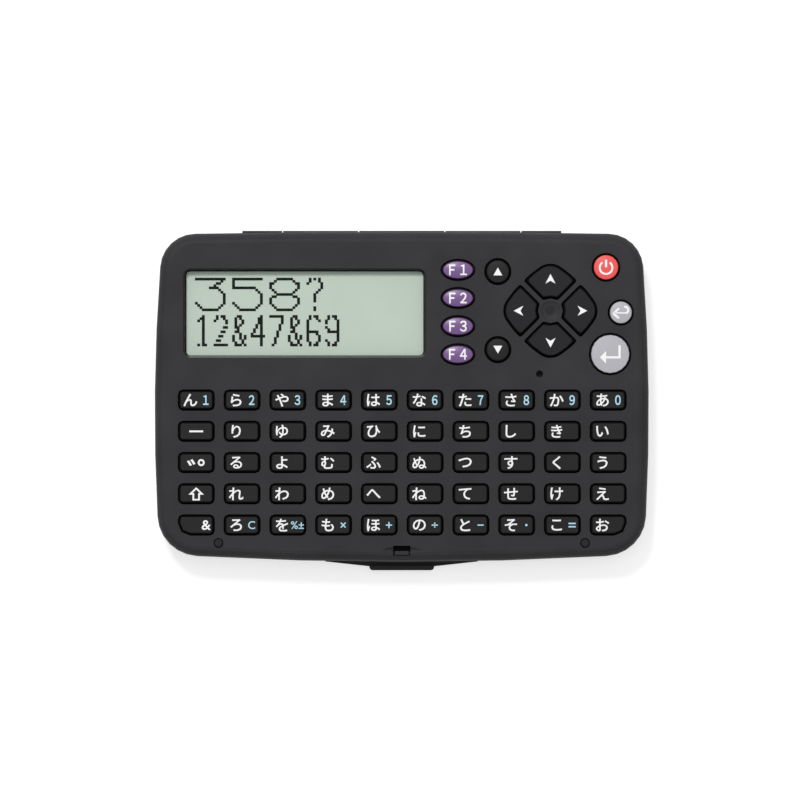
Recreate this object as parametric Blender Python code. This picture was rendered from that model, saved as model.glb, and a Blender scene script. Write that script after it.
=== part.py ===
"""Pocket electronic dictionary, lying on its back with its lid folded right round behind it.

The housing is two moulded shells: a rear case and a front case, which meet at a parting line. Behind
them a shallow dished lid hangs on a two-axis hinge: a link turns half a turn about a pin in the rear
case, and the lid turns half a turn about a second pin in the link. With both turned, the lid covers
the keys, and its rim closes over the rounded shoulder of the front case.

X runs to the right, Y runs up the face towards the hinge, and Z points out of the face. The origin is
under the centre of the whole object, on the surface that it lies on. Sizes are in metres.
"""

import math

import bmesh
import bpy
from mathutils import Vector

# Outline of the body from the front: four shallow arcs with a fillet at each corner.
body_width = 0.1186
body_height = 0.0792
widest_line_y = -0.0038
side_arc_radius = 0.4700
top_arc_radius = 2.8800
bottom_arc_radius = 0.8790
top_corner_radius = 0.0085
bottom_corner_radius = 0.0100
side_steps = 4
corner_steps = 6

# Stack of layers. The lid's rim stands on the table, and the housing lies over the lid.
lid_dish_depth = 0.0023
lid_plate = 0.0011
lid_body_gap = 0.0003
battery_room = 0.0010
seam_gap = 0.0002
front_case_depth = 0.0031
shoulder_width = 0.0024
back_edge_radius = 0.0020

# Walls and fits shared by the mouldings.
front_wall = 0.0013
back_wall = 0.0013
side_wall = 0.0014
shoulder_wall = 0.0022
fit_gap = 0.0003
overrun = 0.0010
least_step = 0.000005

# Keys: a flange under the front wall, and a cap that stands proud of the face.
key_proud = 0.0008
key_travel = 0.0006
key_flange = 0.0006
key_flange_margin = 0.00035
key_side_gap = 0.00030
key_taper = 0.00015
key_edge = 0.00035
key_edge_steps = 2
press_clearance = 0.0001
lid_key_gap = 0.0004

# Letter keys: ten columns of five rows, which fill the body's width above its bottom edge.
column_count = 10
row_count = 5
field_left_margin = 0.00567
field_right_margin = 0.00543
field_bottom_margin = 0.00635
column_web = 0.00210
row_pitch_share = 0.09444
row_web = 0.00238
letter_corner_share = 0.235
end_corner_share = 0.590
letter_steps = 2

# Controls above the letter keys. Places are shares of the body's width and of the room's height, and
# diameters are shares of the room that is left for them between the letter keys and the hinge.
room_share = 0.2785
mode_place_share = (0.11349, 0.8668)
mode_pitch_share = 0.20406
mode_count = 4
mode_width_share = 0.2558
mode_height_share = 0.1626
mode_steps = 20
round_steps = 20
previous_place_share = (0.19393, 0.85468)
next_place_share = (0.19393, 0.28853)
step_key_share = 0.1986
power_place_share = (0.41231, 0.88495)
power_share = 0.2101
back_place_share = (0.44224, 0.55798)
back_share = 0.1920
enter_place_share = (0.42074, 0.25674)
enter_share = 0.3100

# Arrow keys: four wedges round a dish, parted by ribs along the diagonals.
pad_place_share = (0.30017, 0.57009)
wedge_reach_share = 0.3421
wedge_crest_share = 0.1330
wedge_inner_share = 0.0893
wedge_slope = math.radians(40)
wedge_rib = 0.0011
wedge_bulge = 0.00012
wedge_outer_corner = 0.0006
wedge_inner_corner = 0.0005
wedge_flange_margin = 0.0003
wedge_crest_steps = 6
dish_share = 0.0772
dish_depth = 0.0006
dish_ring_shares = (0.1, 0.5, 1.2)

# Display.
window_place_share = (-0.19629, 0.55434)
window_width_share = 0.48398
window_height_share = 0.62368
window_corner = 0.0012
window_bevel = 0.0004
window_margin = 0.0020
window_thickness = 0.0006
display_margin = 0.0018
display_thickness = 0.0008
connector_inset = 0.0027
connector_width = 0.0016

# Small features of the front case.
reset_place_share = (0.27825, 0.11293)
reset_hole_radius = 0.00085
reset_post_radius = 0.0010
bumper_share = 0.3702
bumper_drop = 0.00055
bumper_recess_radius = 0.00120
bumper_recess_depth = 0.0008
bumper_gap = 0.00022
bumper_proud = 0.00020
latch_inset = 0.00275
latch_width = 0.0041
latch_height = 0.0024
latch_ledge_width = 0.0033
latch_ledge_height = 0.0009
latch_ledge_gap = 0.0002
latch_ledge_depth = 0.0002
latch_pocket_depth = 0.0024
latch_wall = 0.0010
scoop_width = 0.0094
scoop_height = 0.0019
scoop_depth = 0.0006
scoop_ring_shares = ((0.35, 1.0), (0.75, 0.6), (1.0, 0.0), (1.0, -0.5))

# Screw bosses, three on each side of the body.
front_boss_radius = 0.0017
rear_boss_radius = 0.0022
screw_recess_radius = 0.0015
screw_recess_depth = 0.0016
boss_clearance = 0.0004
bottom_boss_inset = 0.0038
middle_boss_inset = 0.0039
middle_boss_rise = 0.00263
top_boss_inset = 0.0047
top_left_boss_share = -0.4050
top_right_boss_share = 0.3755

# Circuit board and key membrane.
board_thickness = 0.0008
board_edge_gap = 0.0022
board_post_radius = 0.0014
membrane_thickness = 0.0004
membrane_edge_gap = 0.0028
membrane_key_border = 0.0008

# Coin cell, its contacts and the round door that a coin turns.
cell_place_share = (-0.2361, 0.1540)
cell_radius = 0.0100
cell_thickness = 0.0025
cell_rim_step = 0.0012
cell_rim_height = 0.0003
door_overlap = 0.0020
door_plate = 0.0010
door_neck_gap = 0.0012
door_neck_wall = 0.0007
door_lug_reach = 0.0015
door_lug_thickness = 0.0006
door_ring_thickness = 0.0007
door_ring_wall = 0.0013
door_slot_share = 0.57
door_slot_width = 0.0014
door_slot_depth = 0.0005
door_edge = 0.0002
lug_count = 3
lug_angle = math.radians(26)
lug_slot_angle = math.radians(34)
door_turn = math.radians(60)
door_steps = 36
lug_steps = 4
contact_strip = 0.0002
contact_width = 0.0050
contact_length = 0.0090
contact_foot = 0.0026

# Hinge.
hinge_axis_inset = 0.0008
lid_axis_inset = 0.00095
hinge_width_share = 0.6324
knuckle_radius = 0.0011
pin_radius = 0.00045
pin_hole_radius = 0.00065
link_offset = 0.0011
link_plate = 0.0012
knuckle_steps = 16
pin_steps = 12
link_edge = 0.0003
web_share = 0.9
link_knuckle_shares = (0.28, 0.76)

# Lid.
lid_overhang = 0.00025
rim_edge = 0.00055
rim_root = 0.0020
lid_edge_radius = 0.0012
rim_end_from_top = 0.0050
hook_width = 0.0034
hook_thickness = 0.0008
flare_half_width = 0.0184
flare_flat_half_width = 0.0076
flare_reach = 0.0013
tab_half_width = 0.0078
tab_reach = 0.0022
tab_lip = 0.0011
tab_lip_height = 0.0009
tab_thickness = 0.0018
tab_corner = 0.0007
edge_steps = 5

# Heights of the layers, from the table up.
lid_outer_z = lid_dish_depth + lid_plate
back_z = lid_outer_z + lid_body_gap
floor_z = back_z + back_wall
cell_low_z = back_z + door_plate + fit_gap
cell_top_z = cell_low_z + cell_thickness
board_bottom_z = cell_top_z + battery_room
board_top_z = board_bottom_z + board_thickness
membrane_bottom_z = board_top_z + fit_gap
membrane_top_z = membrane_bottom_z + membrane_thickness
flange_bottom_z = membrane_top_z + key_travel + press_clearance
flange_top_z = flange_bottom_z + key_flange
wall_inner_z = flange_top_z + fit_gap
face_z = wall_inner_z + front_wall
key_top_z = face_z + key_proud
front_bottom_z = face_z - front_case_depth
rear_top_z = front_bottom_z - seam_gap

# The ring that the battery door's lugs turn behind, and the top of the door's neck.
door_neck_radius = cell_radius + door_neck_gap
door_radius = door_neck_radius + door_overlap
door_ring_top = back_z + door_plate + fit_gap + door_ring_thickness
door_neck_top = door_ring_top + fit_gap + door_lug_thickness

# Hinge axes. The lid lies its own distance below the first axis, and as far above it when closed.
hinge_width = body_width * hinge_width_share
top_y = body_height / 2
hinge_y = top_y - hinge_axis_inset
lid_rise = key_top_z + lid_key_gap - lid_dish_depth
lid_axis_z = lid_outer_z - lid_axis_inset
body_axis_z = lid_axis_z + lid_rise / 2
notch_depth_y = hinge_y - link_offset - link_plate - fit_gap
notch_half_width = hinge_width / 2 + fit_gap

# The middle of the whole object in Y, from the knuckles to the end of the thumb tab.
reach_up = hinge_y + knuckle_radius
reach_down = body_height / 2 + tab_reach
frame_shift = Vector((0, (reach_down - reach_up) / 2, 0))

# The field of letter keys.
column_pitch = (body_width - field_left_margin - field_right_margin + column_web) / column_count
letter_opening_width = column_pitch - column_web
row_pitch = body_height * row_pitch_share
letter_opening_height = row_pitch - row_web
letter_corner = letter_opening_height * letter_corner_share
end_corner = letter_opening_height * end_corner_share
field_bottom = field_bottom_margin - body_height / 2
field_top = field_bottom + row_count * row_pitch - row_web

# The room for the controls above them, and what is measured from the edges.
room_height = notch_depth_y - side_wall - field_top
control_room = min(room_height, body_width * room_share)
window_opening_width = body_width * window_width_share
window_opening_height = room_height * window_height_share
mode_opening_width = control_room * mode_width_share
mode_opening_height = control_room * mode_height_share
bumper_x = body_width * bumper_share
bumper_y = field_bottom - bumper_drop - bumper_recess_radius
latch_y = latch_inset - top_y
bottom_boss_y = bottom_boss_inset - top_y
middle_boss_x = body_width / 2 - middle_boss_inset
middle_boss_y = field_top + middle_boss_rise
top_boss_y = top_y - top_boss_inset

for leftover in list(bpy.data.objects):
    bpy.data.objects.remove(leftover)


def plastic(name, colour, roughness, metallic=0.0, alpha=1.0):
    """A plain Principled material."""
    finish = bpy.data.materials.new(name)
    finish.use_nodes = True
    shader = finish.node_tree.nodes["Principled BSDF"]
    shader.inputs["Base Color"].default_value = (*colour, 1)
    shader.inputs["Roughness"].default_value = roughness
    shader.inputs["Metallic"].default_value = metallic
    shader.inputs["Alpha"].default_value = alpha
    finish.diffuse_color = (*colour, 1)
    return finish


def arc(centre, radius, start, end, steps):
    """Points on an arc with their outward normals, without the arc's last point."""
    spots = []
    for step in range(steps):
        angle = start + (end - start) * step / steps
        normal = Vector((math.cos(angle), math.sin(angle)))
        spots.append((centre + normal * radius, normal))
    return spots


def fillet_centre(first, first_reach, second, second_reach, towards):
    """The point at a set distance from two arcs' centres that lies furthest out towards a corner."""
    along = second - first
    span = along.length
    share = (first_reach**2 - second_reach**2 + span**2) / (2 * span)
    rise = math.sqrt(first_reach**2 - share**2)
    along.normalize()
    across = Vector((-along.y, along.x))
    found = [first + along * share + across * rise * sign for sign in (1, -1)]
    return max(found, key=lambda point: point.dot(towards))


def angle_of(vector):
    return math.atan2(vector.y, vector.x)


def trace_body():
    """The body's outline, anticlockwise from the right-hand side."""
    side = Vector((body_width / 2 - side_arc_radius, widest_line_y))
    top = Vector((0, body_height / 2 - top_arc_radius))
    bottom = Vector((0, bottom_arc_radius - body_height / 2))
    upper = fillet_centre(
        side, side_arc_radius - top_corner_radius, top, top_arc_radius - top_corner_radius, Vector((1, 1))
    )
    lower = fillet_centre(
        side,
        side_arc_radius - bottom_corner_radius,
        bottom,
        bottom_arc_radius - bottom_corner_radius,
        Vector((1, -1)),
    )
    upper_side = angle_of(upper - side)
    upper_top = angle_of(upper - top)
    lower_side = angle_of(lower - side)
    lower_bottom = angle_of(lower - bottom)
    left = Vector((-1, 1))
    full = 2 * math.pi
    spots = arc(side, side_arc_radius, lower_side, upper_side, side_steps)
    spots += arc(upper, top_corner_radius, upper_side, upper_top, corner_steps)
    spots += arc(top, top_arc_radius, upper_top, math.pi - upper_top, side_steps)
    spots += arc(upper * left, top_corner_radius, math.pi - upper_top, math.pi - upper_side, corner_steps)
    spots += arc(side * left, side_arc_radius, math.pi - upper_side, math.pi - lower_side, side_steps)
    spots += arc(
        lower * left, bottom_corner_radius, math.pi - lower_side, math.pi - lower_bottom, corner_steps
    )
    spots += arc(bottom, bottom_arc_radius, math.pi - lower_bottom, full + lower_bottom, side_steps)
    spots += arc(lower, bottom_corner_radius, full + lower_bottom, full + lower_side, corner_steps)
    return spots


body_outline = trace_body()


def body_ring(inset, z, overhang=0.0):
    """The body's outline drawn in by inset, and let out by overhang everywhere but at the hinge edge."""
    loop = []
    for spot, normal in body_outline:
        shift = overhang * (1 - max(0, normal.y)) - inset
        place = spot + normal * shift
        loop.append(Vector((place.x, place.y, z)))
    return loop


def loft(loops, name="form"):
    """A closed solid through loops of equal count, each anticlockwise about the way that they go."""
    form = bmesh.new()
    rings = [[form.verts.new(point) for point in loop] for loop in loops]
    for lower, upper in zip(rings, rings[1:]):
        for index in range(len(lower)):
            after = (index + 1) % len(lower)
            form.faces.new((lower[index], lower[after], upper[after], upper[index]))
    form.faces.new(list(reversed(rings[0])))
    form.faces.new(rings[-1])
    mesh = bpy.data.meshes.new(name)
    form.to_mesh(mesh)
    form.free()
    shape = bpy.data.objects.new(name, mesh)
    bpy.context.collection.objects.link(shape)
    return shape


def prism(points, low, high, name="form"):
    """A flat outline raised from one height to another."""
    return loft([[Vector((p.x, p.y, z)) for p in points] for z in (low, high)], name)


def block(x_range, y_range, z_range):
    """A box between limits on each axis."""
    (left, right), (near, far) = x_range, y_range
    corners = [Vector(place) for place in ((left, near), (right, near), (right, far), (left, far))]
    return prism(corners, *z_range)


def circle(radius, steps, centre=(0, 0)):
    turn = 2 * math.pi / steps
    middle = Vector(centre)
    return [middle + Vector((math.cos(turn * i), math.sin(turn * i))) * radius for i in range(steps)]


def cylinder(radius, steps, centre, low, high):
    return prism(circle(radius, steps, centre), low, high)


def bar(section, left, right):
    """A profile of Y and Z values drawn along X."""
    return loft([[Vector((x, p.x, p.y)) for p in section] for x in (left, right)])


def sector(inner, outer, middle, width, steps, centre):
    """Part of a flat ring about a centre."""
    angles = [middle + width * (i / steps - 0.5) for i in range(steps + 1)]
    rays = [Vector((math.cos(angle), math.sin(angle))) for angle in angles]
    return [centre + ray * outer for ray in rays] + [centre + ray * inner for ray in reversed(rays)]


def gather(shapes):
    """Several separate solids as one tool."""
    form = bmesh.new()
    for shape in shapes:
        form.from_mesh(shape.data)
        bpy.data.objects.remove(shape)
    mesh = bpy.data.meshes.new("tool")
    form.to_mesh(mesh)
    form.free()
    tool = bpy.data.objects.new("tool", mesh)
    bpy.context.collection.objects.link(tool)
    return tool


def combine(shape, tool, operation):
    """Applies one exact Boolean and removes its tool."""
    modifier = shape.modifiers.new("combine", "BOOLEAN")
    modifier.operation = operation
    modifier.solver = "EXACT"
    modifier.object = tool
    view = bpy.context.evaluated_depsgraph_get()
    shape.data = bpy.data.meshes.new_from_object(shape.evaluated_get(view))
    shape.modifiers.clear()
    bpy.data.objects.remove(tool)


def cut(shape, *tools):
    combine(shape, gather(tools), "DIFFERENCE")


def fuse(shape, *tools):
    for tool in tools:
        combine(shape, tool, "UNION")


def settle(shape, name, finish, pivot=Vector((0, 0, 0))):
    """Names a finished piece, gives it its material, and puts its origin on its pivot."""
    shape.name = name
    shape.data.name = name
    for point in shape.data.vertices:
        point.co -= pivot
    shape.location = pivot + frame_shift
    shape.data.materials.clear()
    shape.data.materials.append(finish)
    shape.data.shade_smooth()
    shape.data.set_sharp_from_angle(angle=math.radians(35))
    return shape


# Outlines of the openings. Each grows by the given amount on every side, for flanges and for caps.
def rounded_rectangle(width, height, corners, steps):
    """A rectangle about zero with its own radius at each corner, from the lower right, anticlockwise."""
    points = []
    signs = ((1, -1), (1, 1), (-1, 1), (-1, -1))
    for index, ((x_sign, y_sign), radius) in enumerate(zip(signs, corners)):
        middle = Vector((x_sign * (width / 2 - radius), y_sign * (height / 2 - radius)))
        start = math.pi / 2 * (index - 1)
        for step in range(steps + 1):
            angle = start + math.pi / 2 * step / steps
            points.append(middle + Vector((math.cos(angle), math.sin(angle))) * radius)
    return points


def letter_outline(grow, corners=(letter_corner,) * 4):
    return rounded_rectangle(
        letter_opening_width + 2 * grow,
        letter_opening_height + 2 * grow,
        [corner + grow for corner in corners],
        letter_steps,
    )


def mode_outline(grow):
    """An oval."""
    across = mode_opening_width / 2 + grow
    up = mode_opening_height / 2 + grow
    return [Vector((point.x * across, point.y * up)) for point in circle(1, mode_steps)]


def round_outline(share):
    return lambda grow: circle(control_room * share / 2 + grow, round_steps)


def soften(corner, before, after, reach):
    """Three points that round one corner, from the way it is reached to the way it is left."""
    first = corner + (before - corner).normalized() * reach
    last = corner + (after - corner).normalized() * reach
    return [first, (first + last + corner * 2) / 4, last]


def wedge_outline(grow):
    """An arrow key's opening about the pad's centre, with its crest towards +Y.

    The crest is an arc, and from its ends two lines that swell a little slope down to the ribs.
    """
    crest_radius = control_room * wedge_crest_share
    middle = Vector((0, control_room * wedge_reach_share - crest_radius))
    outer = crest_radius + grow
    inner = control_room * wedge_inner_share - grow
    side = math.sqrt(2) * (wedge_rib / 2 - grow)
    slant = Vector((math.sin(wedge_slope), math.cos(wedge_slope)))
    far_y = (outer + slant.x * side + slant.y * middle.y) / (slant.x + slant.y)
    near_y = side / 2 + math.sqrt(inner**2 / 2 - side**2 / 4)
    far = Vector((far_y - side, far_y))
    near = Vector((near_y - side, near_y))
    swell = (far + middle + slant * outer) / 2 + slant * wedge_bulge
    crest = []
    for step in range(wedge_crest_steps + 1):
        angle = math.pi / 2 + wedge_slope * (2 * step / wedge_crest_steps - 1)
        crest.append(middle + Vector((math.cos(angle), math.sin(angle))) * outer)
    right = soften(near, Vector((0, inner)), far, wedge_inner_corner)[1:]
    right += soften(far, near, swell, wedge_outer_corner)
    right.append(swell)
    left = [Vector((-point.x, point.y)) for point in reversed(right)]
    return right + crest + left + [Vector((0, inner))]


def turned(outline, quarter_turns):
    """The same outline turned about zero by quarter turns."""

    def turned_outline(grow):
        points = outline(grow)
        for _ in range(quarter_turns):
            points = [Vector((-point.y, point.x)) for point in points]
        return points

    return turned_outline


def moved(points, place):
    return [point + Vector(place) for point in points]


# Every key of its own: name, outline, place, flange margin and finish.
case_black = plastic("case_black", (0.046, 0.045, 0.049), 0.55)
key_black = plastic("key_black", (0.020, 0.020, 0.021), 0.45)
arrow_black = plastic("arrow_black", (0.023, 0.023, 0.028), 0.45)
mode_purple = plastic("mode_purple", (0.180, 0.095, 0.300), 0.35)
power_red = plastic("power_red", (0.820, 0.090, 0.080), 0.35)
key_grey = plastic("key_grey", (0.390, 0.390, 0.430), 0.35)
lid_black = plastic("lid_black", (0.030, 0.030, 0.032), 0.50)
clear = plastic("clear", (0.900, 0.930, 0.920), 0.05, alpha=0.25)
display_green = plastic("display_green", (0.470, 0.570, 0.490), 0.25)
board_green = plastic("board_green", (0.020, 0.160, 0.070), 0.50)
rubber_grey = plastic("rubber_grey", (0.300, 0.300, 0.310), 0.80)
rubber_black = plastic("rubber_black", (0.025, 0.025, 0.025), 0.85)
steel = plastic("steel", (0.600, 0.600, 0.610), 0.30, metallic=1.0)

def control_place(shares):
    """A place above the letter keys, from shares of the body's width and of the room's height."""
    across, up = shares
    return Vector((body_width * across, field_top + room_height * up))


def mode_place(row):
    return control_place(mode_place_share) - Vector((0, room_height * mode_pitch_share * row))


single_keys = [
    (f"key_mode_{row + 1}", mode_outline, mode_place(row), mode_purple) for row in range(mode_count)
]
single_keys += [
    ("key_previous", round_outline(step_key_share), control_place(previous_place_share), key_black),
    ("key_next", round_outline(step_key_share), control_place(next_place_share), key_black),
    ("key_power", round_outline(power_share), control_place(power_place_share), power_red),
    ("key_back", round_outline(back_share), control_place(back_place_share), key_grey),
    ("key_enter", round_outline(enter_share), control_place(enter_place_share), key_grey),
]
arrow_keys = [
    (name, turned(wedge_outline, quarter), control_place(pad_place_share), arrow_black)
    for quarter, name in enumerate(("key_up", "key_left", "key_down", "key_right"))
]


def column_x(column):
    return field_left_margin - body_width / 2 + letter_opening_width / 2 + column * column_pitch


def row_y(row):
    return field_top - letter_opening_height / 2 - row * row_pitch


def letter_corners(column, row):
    """Corner radii of one letter opening: the two end keys of the last row follow the case's corners."""
    corners = [letter_corner] * 4
    last_row = row == row_count - 1
    if last_row and column == 0:
        corners[3] = end_corner
    if last_row and column == column_count - 1:
        corners[0] = end_corner
    return corners


def cap_loops(outline):
    """Height and outline of each section of a key's cap above its flange, up over its rounded edge."""
    base = -key_side_gap
    waist = base - key_taper
    sections = [(flange_top_z, outline(base))]
    for step in range(key_edge_steps + 1):
        angle = math.pi / 2 * step / key_edge_steps
        inset = key_edge * (1 - math.cos(angle))
        sections.append((key_top_z - key_edge + key_edge * math.sin(angle), outline(waist - inset)))
    return sections


def raise_loops(sections, place):
    return [[Vector((p.x + place[0], p.y + place[1], z)) for p in points] for z, points in sections]


def make_key(name, outline, place, finish, margin):
    """A key with its own flange, its origin at the middle of its top."""
    flange = outline(margin)
    sections = [(flange_bottom_z, flange), (flange_top_z, flange)] + cap_loops(outline)
    shape = loft(raise_loops(sections, place))
    settle(shape, name, finish, Vector((place[0], place[1], key_top_z)))


def make_letter_pair(name, column, upper_row):
    """Two letter keys, one above the other, moulded on one flange that runs under the case's web."""
    x = column_x(column)
    rows = (upper_row, upper_row + 1)
    corners = [corner + key_flange_margin for corner in letter_corners(column, rows[1])]
    flange = rounded_rectangle(
        letter_opening_width + 2 * key_flange_margin,
        row_pitch + letter_opening_height + 2 * key_flange_margin,
        corners,
        1,
    )
    middle = (x, (row_y(rows[0]) + row_y(rows[1])) / 2)
    shape = prism(moved(flange, middle), flange_bottom_z, flange_top_z)
    for row in rows:
        radii = letter_corners(column, row)
        sections = cap_loops(lambda grow: letter_outline(grow, radii))
        root = (flange_top_z - key_flange / 2, sections[0][1])
        fuse(shape, loft(raise_loops([root] + sections, (x, row_y(row)))))
    settle(shape, name, key_black, Vector((middle[0], middle[1], key_top_z)))


def link_knuckle_ranges():
    """Left and right limits of the two knuckles of the link."""
    inner, outer = [share * hinge_width / 2 for share in link_knuckle_shares]
    return [(-outer, -inner), (inner, outer)]


def fixed_knuckle_ranges():
    """Left and right limits of the knuckles on the rear case and the lid, in among the link's."""
    (_, left_inner), (right_inner, right_outer) = link_knuckle_ranges()
    wall = notch_half_width + overrun / 2
    return [
        (-wall, -right_outer - fit_gap),
        (left_inner + fit_gap, right_inner - fit_gap),
        (right_outer + fit_gap, wall),
    ]


def knuckle(x_range, axis_z):
    return bar(circle(knuckle_radius, knuckle_steps, (hinge_y, axis_z)), *x_range)


def pin_hole(axis_z):
    reach = notch_half_width + overrun / 2
    return bar(circle(pin_hole_radius, pin_steps, (hinge_y, axis_z)), -reach, reach)


boss_places = [
    (-bumper_x, bottom_boss_y),
    (bumper_x, bottom_boss_y),
    (-middle_boss_x, middle_boss_y),
    (middle_boss_x, middle_boss_y),
    (body_width * top_left_boss_share, top_boss_y),
    (body_width * top_right_boss_share, top_boss_y),
]


def bosses(radius, low, high):
    return [cylinder(radius, pin_steps, place, low, high) for place in boss_places]


def hinge_block(grow, low, high):
    """The space round the hinge notch, let out by grow to leave a wall."""
    width = notch_half_width + grow
    return block((-width, width), (notch_depth_y - grow, top_y + overrun), (low, high))


def window_outline(grow):
    return rounded_rectangle(
        window_opening_width + 2 * grow,
        window_opening_height + 2 * grow,
        (window_corner + grow,) * 4,
        letter_steps,
    )


def make_front_case():
    """The face with its openings, its rounded shoulder, and the bosses and catch behind it."""
    sections = []
    for step in range(edge_steps + 1):
        angle = math.pi / 2 * step / edge_steps
        inset = shoulder_width * (1 - math.cos(angle))
        sections.append(body_ring(inset, front_bottom_z + front_case_depth * math.sin(angle)))
    shape = loft(sections)

    hollow = loft(
        [
            body_ring(side_wall, front_bottom_z - overrun),
            body_ring(side_wall, front_bottom_z),
            body_ring(shoulder_wall, wall_inner_z),
        ]
    )
    low = front_bottom_z - 2 * overrun
    high = wall_inner_z + overrun
    catch_x = latch_width / 2 + latch_wall
    catch_top = latch_y + latch_height / 2 + latch_wall
    cut(hollow, hinge_block(side_wall, low, high))
    cut(hollow, block((-catch_x, catch_x), (-body_height, catch_top), (low, high)))
    cut(hollow, *bosses(front_boss_radius, low, high))
    cut(shape, hollow)

    low = wall_inner_z - overrun / 2
    high = face_z + overrun
    openings = []
    for _, outline, place, _ in single_keys + arrow_keys:
        openings.append(prism(moved(outline(0), place), low, high))
    for column in range(column_count):
        for row in range(row_count):
            outline = letter_outline(0, letter_corners(column, row))
            openings.append(prism(moved(outline, (column_x(column), row_y(row))), low, high))
    window = [
        (low, window_outline(0)),
        (face_z - window_bevel, window_outline(0)),
        (face_z, window_outline(window_bevel)),
        (high, window_outline(window_bevel)),
    ]
    openings.append(loft(raise_loops(window, control_place(window_place_share))))
    openings.append(cylinder(reset_hole_radius, pin_steps, control_place(reset_place_share), low, high))
    for side in (-1, 1):
        place = (side * bumper_x, bumper_y)
        openings.append(
            cylinder(bumper_recess_radius, knuckle_steps, place, face_z - bumper_recess_depth, high)
        )
    cut(shape, *openings)

    scoop = []
    for across, down in scoop_ring_shares:
        ring = [
            Vector((point.x * scoop_width / 2, point.y * scoop_height / 2)) * across
            for point in circle(1, round_steps)
        ]
        scoop.append((face_z - scoop_depth * down, ring))
    cut(shape, loft(raise_loops(scoop, (0, latch_y))))
    low_y = latch_y - latch_height / 2
    half = latch_width / 2
    pocket_z = face_z - latch_pocket_depth
    cut(shape, block((-half, half), (low_y, latch_y + latch_height / 2), (pocket_z, high)))
    half = latch_ledge_width / 2
    ledge_y = low_y + latch_ledge_gap
    ledge_z = face_z - latch_ledge_depth
    fuse(shape, block((-half, half), (ledge_y, ledge_y + latch_ledge_height), (pocket_z - fit_gap, ledge_z)))

    dish_radius = control_room * dish_share
    ball_radius = (dish_radius**2 + dish_depth**2) / (2 * dish_depth)
    sections = []
    for share in dish_ring_shares:
        rise = dish_depth * share
        radius = math.sqrt(2 * ball_radius * rise - rise**2)
        sections.append((face_z - dish_depth + rise, circle(radius, round_steps)))
    cut(shape, loft(raise_loops(sections, control_place(pad_place_share))))
    settle(shape, "front_case", case_black)


def make_rear_case():
    """The back shell with the hinge's fixed knuckles, the seat of the battery door and the bosses."""
    sections = []
    for step in range(edge_steps + 1):
        angle = math.pi / 2 * step / edge_steps
        inset = back_edge_radius * (1 - math.sin(angle))
        sections.append(body_ring(inset, back_z + back_edge_radius * (1 - math.cos(angle))))
    sections.append(body_ring(0, rear_top_z))
    shape = loft(sections)

    cell = cell_place()
    hollow = loft(
        [
            body_ring(back_edge_radius, floor_z),
            body_ring(side_wall, floor_z + back_wall),
            body_ring(side_wall, rear_top_z + overrun),
        ]
    )
    low = floor_z - overrun
    high = rear_top_z + 2 * overrun
    cut(hollow, hinge_block(side_wall, low, high))
    seat = door_radius + fit_gap + door_ring_wall
    cut(hollow, cylinder(seat, door_steps, cell, low, door_ring_top))
    cut(hollow, *bosses(rear_boss_radius, low, high))
    top = board_bottom_z - fit_gap
    cut(hollow, *[cylinder(board_post_radius, pin_steps, place, low, top) for place in board_posts()])
    cut(shape, hollow)

    low = back_z - overrun
    cut(shape, hinge_block(0, low, high))
    for x_range in fixed_knuckle_ranges():
        reach = knuckle_radius * web_share
        web = block(
            x_range, (notch_depth_y - overrun / 2, hinge_y), (body_axis_z - reach, body_axis_z + reach)
        )
        fuse(shape, web, knuckle(x_range, body_axis_z))
    cut(shape, pin_hole(body_axis_z))

    cut(shape, cylinder(door_radius + fit_gap, door_steps, cell, low, back_z + door_plate + fit_gap))
    hole = door_neck_radius + fit_gap
    cut(shape, cylinder(hole, door_steps, cell, low, door_ring_top + overrun))
    slot_reach = door_neck_radius + door_lug_reach + fit_gap
    for index in range(lug_count):
        middle = 2 * math.pi * index / lug_count + door_turn
        slot = sector(hole - overrun, slot_reach, middle, lug_slot_angle, lug_steps, cell)
        cut(shape, prism(slot, low, door_ring_top + overrun))
    top = back_z + screw_recess_depth
    cut(shape, *[cylinder(screw_recess_radius, pin_steps, place, low, top) for place in boss_places])
    settle(shape, "rear_case", case_black)


def cell_place():
    """The middle of the coin cell, from shares of the body's width and height."""
    across, up = cell_place_share
    return Vector((body_width * across, body_height * up))


def board_posts():
    """Posts under the circuit board, clear of the coin cell."""
    right = column_x(column_count - 1)
    window = control_place(window_place_share)
    pad = control_place(pad_place_share)
    return [
        (-right, row_y(2)),
        (0, row_y(3)),
        (right, row_y(2)),
        (window.x + window_opening_width / 2, window.y),
        (pad.x + control_room * wedge_reach_share, pad.y),
        (-right, window.y),
    ]


def make_battery_door():
    """A round door: a coin turns it until its lugs meet the slots in the rear case."""
    cell = cell_place()
    top = back_z + door_plate
    rim = circle(door_radius, door_steps)
    lip = circle(door_radius - door_edge, door_steps)
    shape = loft(raise_loops([(back_z, lip), (back_z + door_edge, rim), (top, rim)], cell))
    neck = cylinder(door_neck_radius, door_steps, cell, top - overrun / 2, door_neck_top)
    fuse(shape, neck)
    for index in range(lug_count):
        middle = 2 * math.pi * index / lug_count
        reach = door_neck_radius + door_lug_reach
        lug = sector(door_neck_radius - door_neck_wall / 2, reach, middle, lug_angle, lug_steps, cell)
        fuse(shape, prism(lug, door_neck_top - door_lug_thickness, door_neck_top))
    cut(shape, cylinder(door_neck_radius - door_neck_wall, door_steps, cell, top, door_neck_top + overrun))
    length = door_radius * door_slot_share
    half = door_slot_width / 2
    cut(
        shape,
        block(
            (cell.x - length, cell.x + length),
            (cell.y - half, cell.y + half),
            (back_z - overrun, back_z + door_slot_depth),
        ),
    )
    settle(shape, "battery_door", case_black, Vector((*cell, back_z)))


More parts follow.
